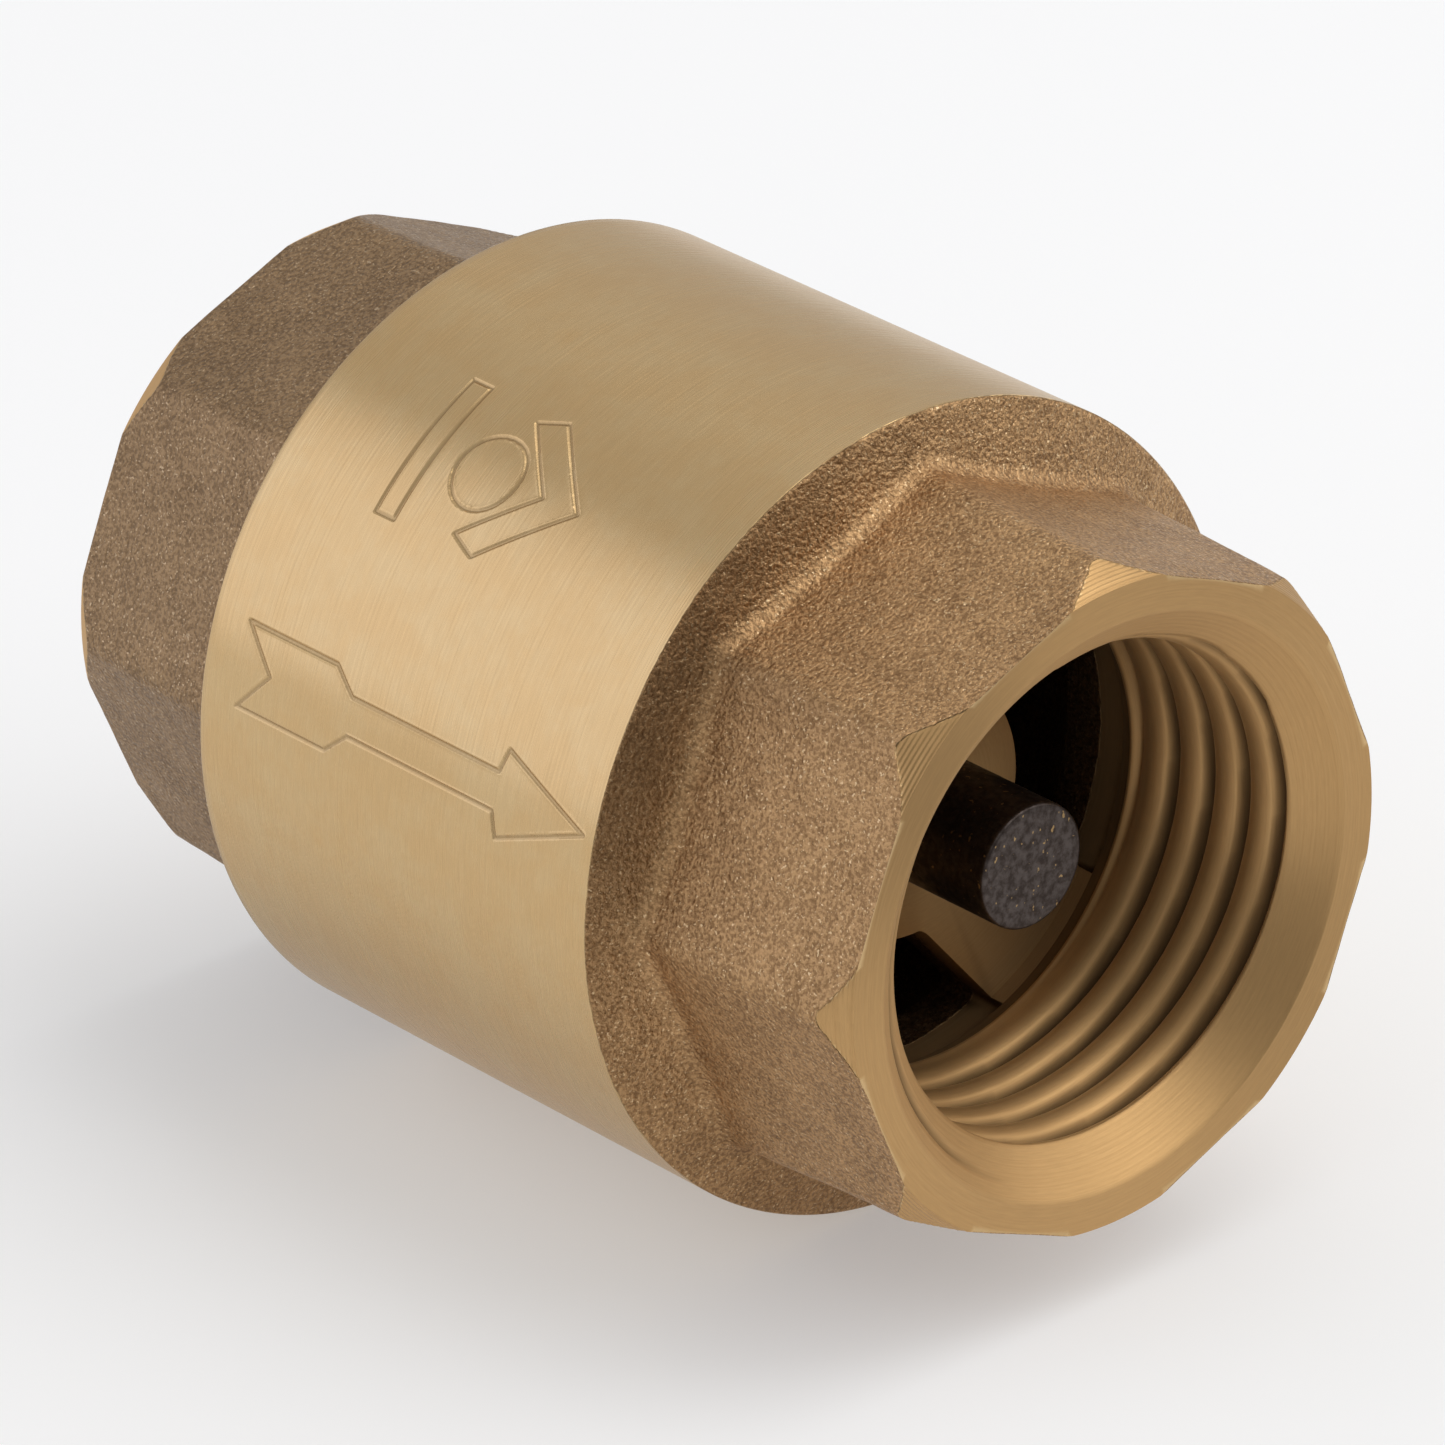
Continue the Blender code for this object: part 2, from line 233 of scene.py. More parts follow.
def makeLatheGroup():
    # fine rings left by a turning tool, across the feed of both cylinders and faces
    size = latheMarksSize
    group, tree, given, result = newGroup("latheMarks", {"Feed": size["feed"]}, ["Rings", "Bands", "Streaks"])
    place = given.outputs["Vector"]
    parts = tree.add("ShaderNodeSeparateXYZ", {0: place})
    flat = tree.add("ShaderNodeCombineXYZ", {1: parts.outputs[1], 2: parts.outputs[2]})
    radius = tree.add("ShaderNodeVectorMath", {0: flat.outputs[0]}, operation="LENGTH").outputs["Value"]
    along = tree.math("ADD", parts.outputs[0], tree.math("MULTIPLY", radius, size["faceShare"]))
    wander = tree.math("MULTIPLY", tree.noise(place, size["wanderScale"], 1.0), size["wander"])
    along = tree.math("ADD", along, wander)
    tree.put(result.inputs["Rings"], tree.lines(along, given.outputs["Feed"], 3.0, 0.7))
    tree.put(result.inputs["Bands"], tree.lines(along, size["bandScale"], 2.0, 0.5))
    # short streaks: the same rings, broken up round the part
    angle = tree.math("ARCTAN2", parts.outputs[2], parts.outputs[1])
    wide = tree.add("ShaderNodeCombineXYZ", {0: tree.math("MULTIPLY", along, size["streaksAlong"]),
                                             1: tree.math("MULTIPLY", angle, size["streaksAround"])})
    tree.put(result.inputs["Streaks"], tree.noise(wide.outputs[0], 1.0, 2.0, 0.6))
    return group


def makeCastGroup():
    # the skin of a sand casting: fused grains with small pits, over slow colour patches
    size = castSkinSize
    group, tree, given, result = newGroup("castSkin", {"Grain": size["grain"]},
                                          ["Height", "Tops", "Glints", "Patches"])
    place = given.outputs["Vector"]
    grain = given.outputs["Grain"]
    fine = tree.noise(place, grain, 2.5, 0.62)
    cells = tree.add("ShaderNodeTexVoronoi", feature="F1")
    tree.put(cells.inputs["Vector"], place)
    tree.put(cells.inputs["Scale"], tree.math("MULTIPLY", grain, size["cellShare"]))
    lumps = tree.math("SUBTRACT", 1.0, cells.outputs["Distance"])
    wide = tree.noise(place, tree.math("MULTIPLY", grain, size["wideShare"]), 2.0, 0.5)
    height = tree.math("ADD", tree.math("MULTIPLY", fine, size["fineHeight"]),
                       tree.math("MULTIPLY", lumps, size["cellHeight"]))
    height = tree.math("ADD", height, tree.math("MULTIPLY", wide, size["wideHeight"]))
    tree.put(result.inputs["Height"], height)
    tree.put(result.inputs["Tops"], tree.ramp(fine, *size["tops"]))
    # glint specks: the body material paints them as highlights in its colour and makes them smoother
    sparks = tree.noise(place, tree.math("MULTIPLY", grain, size["glintShare"]), 1.0, 0.5)
    tree.put(result.inputs["Glints"], tree.ramp(sparks, *size["glints"]))
    tree.put(result.inputs["Patches"], tree.noise(place, size["patchScale"], 4.0, 0.7))
    return group


latheMarks = makeLatheGroup()
castSkin = makeCastGroup()


def newMaterial(name):
    material = bpy.data.materials.new(name)
    material.use_nodes = True
    tree = Tree(material.node_tree)
    shader = material.node_tree.nodes["Principled BSDF"]
    place = tree.add("ShaderNodeTexCoord").outputs["Object"]
    return material, tree, shader, place


def attribute(tree, name):
    return tree.add("ShaderNodeAttribute", attribute_name=name).outputs["Fac"]


def bodyColour(tree, place, look, lathe, cast, turned, paintedShade):
    # turned brass with tarnish and streaks, or cast brass with painted glints, under painted shade; the
    # engraved lines get the same painted shade
    clean = tree.mix(tree.ramp(cast["Patches"], 0.35, 0.7), look["shellWarm"], look["shell"])
    stains = tree.noise(place, look["tarnishScale"], 5.0, 0.6)
    clean = tree.mix(tree.ramp(stains, 0.60, 0.74, 0.0, look["tarnishShare"]), clean, look["tarnish"])
    clean = tree.mix(tree.ramp(attribute(tree, "bore"), 0.2, 0.8), clean, look["bore"])
    streak = tree.ramp(lathe["Streaks"], 0.25, 0.75, *look["streaks"])
    streaks = tree.add("ShaderNodeCombineXYZ", {0: streak, 1: streak, 2: streak}).outputs[0]
    clean = tree.mix(1.0, clean, streaks, "MULTIPLY")
    patches = tree.ramp(cast["Patches"], 0.35, 0.65, 0.0, look["patchShare"])
    tone = tree.math("ADD", tree.math("MULTIPLY", cast["Tops"], 1 - look["patchShare"]), patches)
    raw = tree.mix(tone, look["castDark"], look["castLight"])
    # painted glints: bright specks from the Glints mask mixed into the cast colour
    raw = tree.mix(tree.math("MULTIPLY", cast["Glints"], look["paintedGlintShare"]), raw, look["castPaintedGlint"])
    colour = tree.mix(turned, raw, clean)
    # painted shade: darkens the thread grooves, the inside of the body and one side of the cast shoulder
    colour = tree.mix(tree.math("MULTIPLY", paintedShade, look["paintedShadeShare"]), colour, look["paintedShade"])
    # painted shade in the engraved grooves
    lines = tree.math("MULTIPLY", attribute(tree, "engraved"), look["engravedShadeShare"])
    return tree.mix(lines, colour, look["paintedShade"])


def bodyTangent(tree, place, look, turned):
    # turned faces blur a reflection across the rings, the cast skin blurs it every way
    parts = tree.add("ShaderNodeSeparateXYZ", {0: place})
    around = tree.add("ShaderNodeCombineXYZ", {1: tree.math("MULTIPLY", parts.outputs[2], -1.0),
                                               2: parts.outputs[1]})
    across = tree.vector("CROSS_PRODUCT", tree.vector("NORMALIZE", around.outputs[0]),
                         tree.add("ShaderNodeNewGeometry").outputs["Normal"])
    scatter = tree.add("ShaderNodeTexNoise", {"Vector": place, "Scale": look["scatterScale"], "Detail": 1.0})
    loose = tree.vector("SUBTRACT", scatter.outputs["Color"], (0.5, 0.5, 0.5))
    tangent = tree.add("ShaderNodeMix", data_type="VECTOR")
    tree.put(tangent.inputs[0], turned)
    tree.put(tangent.inputs[4], loose)
    tree.put(tangent.inputs[5], across)
    return tree.vector("NORMALIZE", tangent.outputs[1])


def bodyRoughness(tree, look, lathe, cast, turned, paintedShade):
    inside = tree.ramp(attribute(tree, "bore"), 0.2, 0.8)
    smooth = tree.ramp(lathe["Rings"], 0.2, 0.8, look["turnedRough"] - 0.05, look["turnedRough"] + 0.07)
    smooth = tree.math("ADD", smooth, tree.math("MULTIPLY", inside, look["boreRough"] - look["turnedRough"]))
    sand = tree.ramp(cast["Glints"], 0.0, 1.0, look["castRough"], look["glintRough"])
    rough = tree.add("ShaderNodeMix", data_type="FLOAT")
    tree.put(rough.inputs[0], turned)
    tree.put(rough.inputs[2], sand)
    tree.put(rough.inputs[3], smooth)
    return tree.math("ADD", rough.outputs[0], tree.math("MULTIPLY", paintedShade, look["paintedShadeRough"]))


def bodyRelief(tree, place, look, lathe, cast, turned):
    # height in mm: fine and coarse turning rings, or the casting's grain
    along = tree.add("ShaderNodeSeparateXYZ", {0: place}).outputs[0]
    bands = tree.math("MULTIPLY", lathe["Bands"], look["bandShare"])
    marks = tree.math("MULTIPLY", tree.math("ADD", lathe["Rings"], bands), look["ringDepth"])
    wave = tree.math("SINE", tree.math("MULTIPLY", along, look["coarseFeed"] * math.tau))
    coarse = tree.math("MULTIPLY", wave, tree.ramp(attribute(tree, "chamfer"), 0.3, 0.7))
    marks = tree.math("ADD", marks, tree.math("MULTIPLY", coarse, look["coarseDepth"]))
    marks = tree.math("MULTIPLY", marks, turned)
    skin = tree.math("MULTIPLY", cast["Height"], look["skinDepth"])
    skin = tree.math("MULTIPLY", skin, tree.math("SUBTRACT", 1.0, turned))
    return tree.math("ADD", marks, skin)


def makeBodyBrass(name, look):
    # one casting with turned faces: the "turned" value says which finish shows, in mm from the edge
    material, tree, shader, place = newMaterial(name)
    lathe = tree.group(latheMarks, Vector=place, Feed=look["feed"])
    cast = tree.group(castSkin, Vector=place, Grain=look["grain"])
    wobble = tree.math("SUBTRACT", tree.noise(place, look["raggedScale"], 2.0), 0.5)
    ragged = tree.math("MULTIPLY", wobble, look["ragged"])
    turned = tree.ramp(tree.math("ADD", attribute(tree, "turned"), ragged), -0.02, 0.02)
    # how much painted shade each point gets, from the piece's attributes
    paintedShade = attribute(tree, "paintedShade")
    tree.put(shader.inputs["Base Color"], bodyColour(tree, place, look, lathe, cast, turned, paintedShade))
    shader.inputs["Metallic"].default_value = 1.0
    shader.inputs["Anisotropic"].default_value = look["anisotropic"]
    tree.put(shader.inputs["Tangent"], bodyTangent(tree, place, look, turned))
    tree.put(shader.inputs["Roughness"], bodyRoughness(tree, look, lathe, cast, turned, paintedShade))
    height = bodyRelief(tree, place, look, lathe, cast, turned)
    bump = tree.add("ShaderNodeBump", {"Strength": 1.0, "Distance": mm, "Height": height})
    tree.put(shader.inputs["Normal"], bump.outputs["Normal"])
    return material


def makeMetal(name, look):
    # turned steel or brass on the small inner parts
    material, tree, shader, place = newMaterial(name)
    lathe = tree.group(latheMarks, Vector=place, Feed=look["feed"])
    patches = tree.noise(place, look["patchScale"], 4.0, 0.65)
    colour = tree.mix(tree.ramp(patches, 0.35, 0.65), look["dark"], look["light"])
    flecks = tree.ramp(tree.noise(place, look["patchScale"] * 1.7, 1.0, 0.5), 0.70, 0.76)
    tree.put(shader.inputs["Base Color"], tree.mix(flecks, colour, look["fleck"]))
    shader.inputs["Metallic"].default_value = look["metallic"]
    roughness = tree.ramp(patches, 0.3, 0.7, look["rough"] + 0.08, look["rough"] - 0.05)
    tree.put(shader.inputs["Roughness"], roughness)
    height = tree.math("ADD", tree.math("MULTIPLY", lathe["Rings"], look["ringDepth"]),
                       tree.math("MULTIPLY", patches, look["skinDepth"]))
    bump = tree.add("ShaderNodeBump", {"Strength": 1.0, "Distance": mm, "Height": height})
    tree.put(shader.inputs["Normal"], bump.outputs["Normal"])
    return material


outletLook = {
    "feed": 9000.0,
    "grain": 6800.0,
    "ragged": 0.10,
    "raggedScale": 2600.0,
    "shell": (0.67, 0.475, 0.245),
    "shellWarm": (0.66, 0.445, 0.215),
    "tarnish": (0.66, 0.39, 0.15),
    "tarnishShare": 0.45,
    "tarnishScale": 210.0,
    "streaks": (0.96, 1.03),
    "bore": (0.60, 0.375, 0.165),
    "castLight": (0.60, 0.37, 0.18),
    "castDark": (0.29, 0.165, 0.075),
    # colour of the painted glints on the cast skin
    "castPaintedGlint": (0.85, 0.62, 0.36),
    "paintedGlintShare": 0.8,
    "patchShare": 0.25,
    # colour of the painted shade, also used in the engraved grooves
    "paintedShade": (0.055, 0.026, 0.012),
    "paintedShadeShare": 0.92,
    "paintedShadeRough": 0.2,
    "engravedShadeShare": 0.35,
    "anisotropic": 0.7,
    "scatterScale": 9000.0,
    "turnedRough": 0.27,
    "boreRough": 0.50,
    "castRough": 0.44,
    "glintRough": 0.28,
    "ringDepth": 0.0016,
    "bandShare": 0.6,
    "coarseDepth": 0.012,
    "coarseFeed": 6800.0,
    "skinDepth": 0.060,
}
inletLook = dict(outletLook, castLight=(0.40, 0.262, 0.142), castDark=(0.205, 0.128, 0.068),
                 castPaintedGlint=(0.62, 0.45, 0.28))
outletBrass = makeBodyBrass("outletBrass", outletLook)
inletBrass = makeBodyBrass("inletBrass", inletLook)
stemSteel = makeMetal("stemSteel", {
    "feed": 7000.0, "patchScale": 2600.0, "light": (0.112, 0.092, 0.084), "dark": (0.058, 0.044, 0.038),
    "fleck": (0.45, 0.30, 0.14),
    "metallic": 1.0, "rough": 0.42, "ringDepth": 0.0006, "skinDepth": 0.0012})
innerBrass = makeMetal("innerBrass", {
    "feed": 8000.0, "patchScale": 300.0, "light": (0.62, 0.42, 0.19), "dark": (0.55, 0.35, 0.14),
    "fleck": (0.50, 0.30, 0.12),
    "metallic": 1.0, "rough": 0.34, "ringDepth": 0.0015, "skinDepth": 0.002})
springSteel = makeMetal("springSteel", {
    "feed": 6000.0, "patchScale": 500.0, "light": (0.56, 0.55, 0.53), "dark": (0.47, 0.46, 0.44),
    "fleck": (0.36, 0.34, 0.32),
    "metallic": 1.0, "rough": 0.3, "ringDepth": 0.0008, "skinDepth": 0.001})
sealRubber = makeMetal("sealRubber", {
    "feed": 3000.0, "patchScale": 700.0, "light": (0.022, 0.022, 0.023), "dark": (0.013, 0.013, 0.014),
    "fleck": (0.04, 0.04, 0.04),
    "metallic": 0.0, "rough": 0.55, "ringDepth": 0.001, "skinDepth": 0.004})
print("materials done")

# outlet body: octagon nose, sloping shoulder, turned shell and thread

outletStart, outletEnd, shellRadius = nodeBox("outlet_body")
nose = {
    "apothem": 12.19,
    "draft": 0.044,
    "cornerRound": 1.15,
    "faceCircle": 12.48,
    "chamferAngle": 60.0,
    "shoulderAngle": 18.9,
    "fillet": 0.62,
    "waviness": 0.05,
    "wavinessSize": 3.2,
    "lumps": 0.016,
    "lumpsSize": 0.8,
    "spinSteps": 288,
    "cornerCrowding": 0.6,
    "faceRings": (11.16, 11.5, 11.8, 12.06),
    "sharpAngle": 42,
    "outletSeed": 3,
    "inletSeed": 31,
}
thread = {
    "pitch": 1.814,
    "minor": 9.316,
    "major": 10.478,
    "crestShare": 0.77,
    "crestRound": 0.28,
    "length": 9.2,
    "mouthRadius": 11.1,
    "mouthDepth": 1.4,
    "runOut": 1.1,
    "rowStep": 0.105,
}


def octagonRadius(depth, angle, size):
    # distance from the axis to an octagon with rounded corners and mould draft, one corner pointing up
    step = math.pi / 4
    offset = (angle + step / 2) % step - step / 2
    apothem = size["apothem"] + size["draft"] * depth
    flat = apothem / np.cos(step / 2 - np.abs(offset))
    reach = (apothem - size["cornerRound"]) / math.cos(step / 2)
    inside = size["cornerRound"] ** 2 - (reach * np.sin(offset)) ** 2
    corner = reach * np.cos(offset) + np.sqrt(np.maximum(inside, 0))
    tangent = np.arctan2(size["cornerRound"] * math.sin(step / 2),
                         reach + size["cornerRound"] * math.cos(step / 2))
    return np.where(np.abs(offset) < tangent, corner, flat)


def softMin(a, b, width):
    h = np.maximum(width - np.abs(a - b), 0) / width
    return np.minimum(a, b) - h * h * width / 4


def noseSkin(depth, angle, size, shoulderAt, seed):
    # radius of the outer skin at each depth behind the end face, and how far it is inside a turned face
    uneven = size["waviness"] * ripple(depth, 12.5, angle, size["wavinessSize"], seed)
    uneven += size["lumps"] * ripple(depth, 12.5, angle, size["lumpsSize"], seed + 7)
    octagon = octagonRadius(depth, angle, size) + uneven
    slope = math.tan(math.radians(size["shoulderAngle"]))
    chamfer = math.tan(math.radians(size["chamferAngle"]))

    def skins(r):
        cast = r - octagon
        if shoulderAt:
            cone = shoulderAt - (shellRadius - r) * slope - depth + uneven * 0.8
            cast = softMin(cast, cone * math.cos(math.atan(slope)), size["fillet"])
        face = ((r - size["faceCircle"]) * chamfer - depth) * math.cos(math.atan(chamfer))
        return cast, np.maximum(face, r - shellRadius)

    # halves the gap until it meets the casting, trimmed by the turned face and the shell
    low = np.full(len(depth), 8.0)
    high = np.full(len(depth), shellRadius + 1)
    for _ in range(34):
        middle = (low + high) / 2
        outside = np.maximum(*skins(middle)) > 0
        high = np.where(outside, middle, high)
        low = np.where(outside, low, middle)
    cast, cut = skins(low)
    return low, cut - cast


def crowdCorners(angle, crowding):
    # draws the spin steps together at the octagon's corners
    return angle - crowding * np.sin(8 * angle) / 8


def threadBore(x, angle, size, faceAt, inward):
    # radius of a right-hand female thread with its countersunk mouth, and how deep in a groove each point is,
    # which the bodies paint as shade in the grooves
    phase = (x / size["pitch"] - angle / math.tau) % 1
    wave = 0.5 - 0.5 * np.cos(math.tau * phase)
    crest = np.clip((size["crestShare"] - wave) / size["crestShare"], 0, 1)
    inGroove = np.clip((wave - size["crestShare"]) / (1 - size["crestShare"]), 0, 1)
    groove = size["crestRound"] * (1 - np.sqrt(crest)) + (1 - size["crestRound"]) * inGroove
    depth = (x - faceAt) * inward
    fade = np.clip((size["length"] - depth) / size["runOut"], 0, 1)
    fade = fade * fade * (3 - 2 * fade)
    cut = size["minor"] + (size["major"] - size["minor"]) * groove * fade
    mouth = size["mouthRadius"] - depth * (size["mouthRadius"] - size["minor"]) / size["mouthDepth"]
    shown = np.clip((cut - mouth) / 0.25, 0, 1)
    return np.maximum(cut, mouth), np.sqrt(inGroove) * fade * shown


def threadRows(faceAt, inward, size):
    # profile points from the inner end of the thread out to the face
    depths = spaced(size["length"], 0.0, size["rowStep"])
    return [(faceAt + inward * d, size["minor"]) for d in depths] + [(faceAt, size["mouthRadius"])]


def faceRows(faceAt, inward, size, shoulderDepth):
    # profile points from the end face back along the octagon
    depths = spaced(0.0, 0.3, 0.05) + spaced(0.3, 1.6, 0.07)
    if shoulderDepth:
        bend = shoulderDepth - 2.0
        depths += spaced(1.6, bend, 0.33) + spaced(bend, shoulderDepth + 0.2, 0.055)
    return [(faceAt + inward * d, size["faceCircle"]) for d in depths]


shellPlan = {
    "noseLength": 10.6,
    "rowStep": 0.4,
    "backEdge": 0.3,
    "mouthRadius": 11.8,
    "stepAt": 15.9,
    "chamberRadius": 11.4,
    "taperFrom": 27.5,
    "taperTo": 29.1,
    "windowRadius": 10.35,
    "ledgeAt": 32.55,
    "ledgeRadius": 9.7,
    # painted shade on one side of the cast shoulder, then inside the chamber and at the ledge
    "shoulderShadeTurn": 142.0,
    "shoulderShadeSpread": 34.0,
    "shoulderShadeFrom": 13.0,
    "shoulderShadeFade": 1.4,
    "shoulderShadeShare": 0.5,
    "chamberShade": 0.75,
    "ledgeShade": 0.6,
    "mouthLines": 0.4,
}

arrow = {
    "angle": 165.2,
    "tip": 31.3,
    "headBase": 26.9,
    "headHalf": 1.65,
    "neck": 26.6,
    "shaftHalf": 0.74,
    "tail": 12.6,
    "tailNotch": 14.2,
    "tailHalf": 1.62,
    "tailStart": 18.6,
    "tailSlant": 1.1,
}
symbol = {
    "angle": 127.6,
    "seatTip": 24.9,
    "seatBack": 21.6,
    "seatHalf": 3.0,
    "seatBand": 1.25,
    "ballAt": 20.1,
    "ballRadius": 1.55,
    "ballSides": 28,
    "barAt": 17.4,
    "barHalf": 3.0,
    "barWidth": 1.0,
}
groove = {
    "halfWidth": 0.10,
    "depth": 0.055,
    "burr": 0.011,
    "burrAt": 1.25,
    "burrSpread": 0.3,
    "edge": 0.06,
    "rounds": 4,
}


def engravedOutlines():
    # closed outlines on the unrolled shell: (station, arc length) in mm
    a = arrow
    half = [(a["tip"], 0), (a["headBase"], a["headHalf"]), (a["neck"], a["shaftHalf"]),
            (a["tailStart"], a["shaftHalf"]), (a["tailStart"] - a["tailSlant"], a["tailHalf"]),
            (a["tail"], a["tailHalf"]), (a["tailNotch"], 0)]
    flow = half + [(x, -s) for x, s in reversed(half[1:-1])]
    flow = [(x, s + math.radians(a["angle"]) * shellRadius) for x, s in flow]
    m = symbol
    centre = math.radians(m["angle"]) * shellRadius
    seat = [(m["seatBack"], m["seatHalf"]), (m["seatTip"], 0), (m["seatBack"], -m["seatHalf"]),
            (m["seatBack"] - m["seatBand"], -m["seatHalf"] + 0.5), (m["seatTip"] - m["seatBand"] * 1.5, 0),
            (m["seatBack"] - m["seatBand"], m["seatHalf"] - 0.5)]
    turns = [math.tau * i / m["ballSides"] for i in range(m["ballSides"])]
    ball = [(m["ballAt"] + m["ballRadius"] * math.cos(t), m["ballRadius"] * math.sin(t)) for t in turns]
    back, half = m["barAt"] - m["barWidth"], m["barHalf"]
    bar = [(m["barAt"], half), (m["barAt"], -half), (back, -half), (back, half)]
    return [flow] + [[(x, s + centre) for x, s in loop] for loop in (seat, ball, bar)]


def outlineDistance(x, angle, loops):
    # distance in mm along the shell from each point to the nearest engraved line
    arc = (angle % math.tau) * shellRadius
    best = np.full(len(x), 99.0)
    for loop in loops:
        for (ax, ay), (bx, by) in zip(loop, loop[1:] + loop[:1]):
            dx, dy = bx - ax, by - ay
            t = np.clip(((x - ax) * dx + (arc - ay) * dy) / (dx * dx + dy * dy), 0, 1)
            best = np.minimum(best, np.hypot(x - ax - t * dx, arc - ay - t * dy))
    return best


def outletProfile(front, edge):
    # section of the body in mm, from the outlet face round the outside, then back through the bore
    plan = shellPlan
    rim = shellRadius - plan["backEdge"]
    profile = faceRows(outletEnd, -1, nose, plan["noseLength"])
    profile += [(x, shellRadius) for x in spaced(front - 0.2, edge, plan["rowStep"])]
    profile += [(edge + 0.03, shellRadius), (edge - 0.03, shellRadius - 0.03)]
    profile += [(outletStart + 0.02, rim + 0.02), (outletStart, rim - 0.05)]
    profile += [(outletStart, plan["mouthRadius"])]
    profile += [(plan["stepAt"], plan["mouthRadius"]), (plan["stepAt"], plan["chamberRadius"])]
    profile += [(plan["taperFrom"], plan["chamberRadius"]), (plan["taperTo"], plan["windowRadius"])]
    profile += [(plan["ledgeAt"], plan["windowRadius"]), (plan["ledgeAt"], plan["ledgeRadius"])]
    profile += [(outletEnd - thread["length"] - 0.02, plan["ledgeRadius"])]
    profile += threadRows(outletEnd, -1, thread)
    return profile + [(outletEnd, r) for r in nose["faceRings"]]


def refineShell(shape, loops, front, edge):
    # finer faces where the lines are engraved, laid back on the cylinder
    for _ in range(groove["rounds"]):
        ends = np.array([[v.co for v in e.verts] for e in shape.edges]) / mm
        middle = ends.mean(1)
        length = np.linalg.norm(ends[:, 0] - ends[:, 1], axis=1)
        away = np.hypot(middle[:, 1], middle[:, 2])
        near = (away > shellRadius - 0.05) & (middle[:, 0] < front - 0.1) & (middle[:, 0] > edge)
        near &= length > groove["edge"]
        gap = outlineDistance(middle[near, 0], np.arctan2(middle[near, 2], middle[near, 1]), loops)
        close = np.flatnonzero(near)[gap < groove["halfWidth"] * 1.3 + length[near] * 0.75]
        shape.edges.ensure_lookup_table()
        bmesh.ops.subdivide_edges(shape, edges=[shape.edges[i] for i in close], cuts=1, use_grid_fill=True)
        x, r, angle = cylindrical(shape)
        shell = (r > shellRadius - 0.05) & (x < front - 0.1) & (x > edge)
        r[shell] = shellRadius
        moveVerts(shape, x, r, angle)
    return x, r, angle


def engrave(x, r, angle, loops, front, edge):
    # the graver's groove, with a faint burr beside it: new radii, and how deep in the groove each point is,
    # which the material paints as shade
    away = outlineDistance(x, angle, loops)
    shell = (r > shellRadius - 0.001) & (x < front - 0.1) & (x > edge)
    side = np.clip(away / groove["halfWidth"], 0, 3)
    cut = np.where(side < 1, 1 - side ** 2, 0)
    burr = np.exp(-((side - groove["burrAt"]) / groove["burrSpread"]) ** 2)
    r = r.copy()
    r[shell] += burr[shell] * groove["burr"] - cut[shell] * groove["depth"]
    return np.minimum(r, shellRadius + groove["burr"]), np.where(shell, cut, 0)


def outletFinish(x, r, angle, cut, front):
    # what the material reads at each point, with painted shade in the thread grooves, inside the chamber, at
    # the ledge and on one side of the cast shoulder
    plan = shellPlan
    turned = np.full(len(x), 1.0)
    outer = (r > 12.09) & (x > front - 0.6)
    skin = noseSkin(outletEnd - x[outer], angle[outer], nose, plan["noseLength"], nose["outletSeed"])
    turned[outer] = skin[1]
    turned[(r < 12) & (x < plan["ledgeAt"] - 0.1)] = -1
    paintedShade = np.zeros(len(x))
    # painted shade in the thread grooves
    bored = (x > outletEnd - thread["length"] - 0.01) & (r < thread["mouthRadius"] - 0.005)
    paintedShade[bored] = threadBore(x[bored], angle[bored], thread, outletEnd, -1)[1]
    # painted shade on one side of the cast shoulder
    shoulderShade = np.exp(-((np.degrees(angle) % 360 - plan["shoulderShadeTurn"]) / plan["shoulderShadeSpread"]) ** 2)
    shoulderShade *= np.clip((r - plan["shoulderShadeFrom"]) / plan["shoulderShadeFade"], 0, 1) * plan["shoulderShadeShare"]
    paintedShade = np.where(outer & (turned < 0), shoulderShade, paintedShade)
    # painted shade inside the chamber and at the ledge
    paintedShade[(r < 12) & (x < plan["ledgeAt"] + 0.01)] = plan["chamberShade"]
    ledge = (r < thread["minor"] + 0.5) & (x < outletEnd - thread["length"]) & (x > plan["ledgeAt"])
    paintedShade[ledge] = plan["ledgeShade"]
    bore = np.where((x > front) & (turned > 0), 1.0, 0.0)
    chamfered = np.where((x > front + 4) & (r > nose["faceCircle"] + 0.02) & (turned > 0), 1.0, 0.0)
    mouth = (r < thread["mouthRadius"] - 0.05) & (x > outletEnd - thread["mouthDepth"])
    chamfered[mouth] = plan["mouthLines"]
    return {"turned": turned, "paintedShade": paintedShade, "engraved": cut, "bore": bore, "chamfer": chamfered}


def makeOutletBody():
    plan = shellPlan
    front = outletEnd - plan["noseLength"]
    edge = outletStart + plan["backEdge"]
    shape = turnProfile(outletProfile(front, edge), nose["spinSteps"])
    x, r, angle = cylindrical(shape)
    angle = crowdCorners(angle, nose["cornerCrowding"])
    threaded = (x > outletEnd - thread["length"] - 0.01) & (r < thread["mouthRadius"] - 0.01)
    r[threaded] = threadBore(x[threaded], angle[threaded], thread, outletEnd, -1)[0]
    outer = (r > nose["faceCircle"] - 0.01) & (x > front - 0.21)
    skin = noseSkin(outletEnd - x[outer], angle[outer], nose, plan["noseLength"], nose["outletSeed"])
    r[outer] = skin[0]
    moveVerts(shape, x, r, angle)
    loops = engravedOutlines()
    x, r, angle = refineShell(shape, loops, front, edge)
    r, cut = engrave(x, r, angle, loops, front, edge)
    moveVerts(shape, x, r, angle)
    values = outletFinish(x, r, angle, cut, front)
    print("outlet body", len(shape.verts), "vertices", len(shape.faces), "faces")
    return finishPiece("outletBody", shape, "housing", outletBrass, nose["sharpAngle"],
                       values, thread["mouthRadius"] - 0.1)


outletBody = makeOutletBody()
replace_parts(outletBody, "outlet_body")

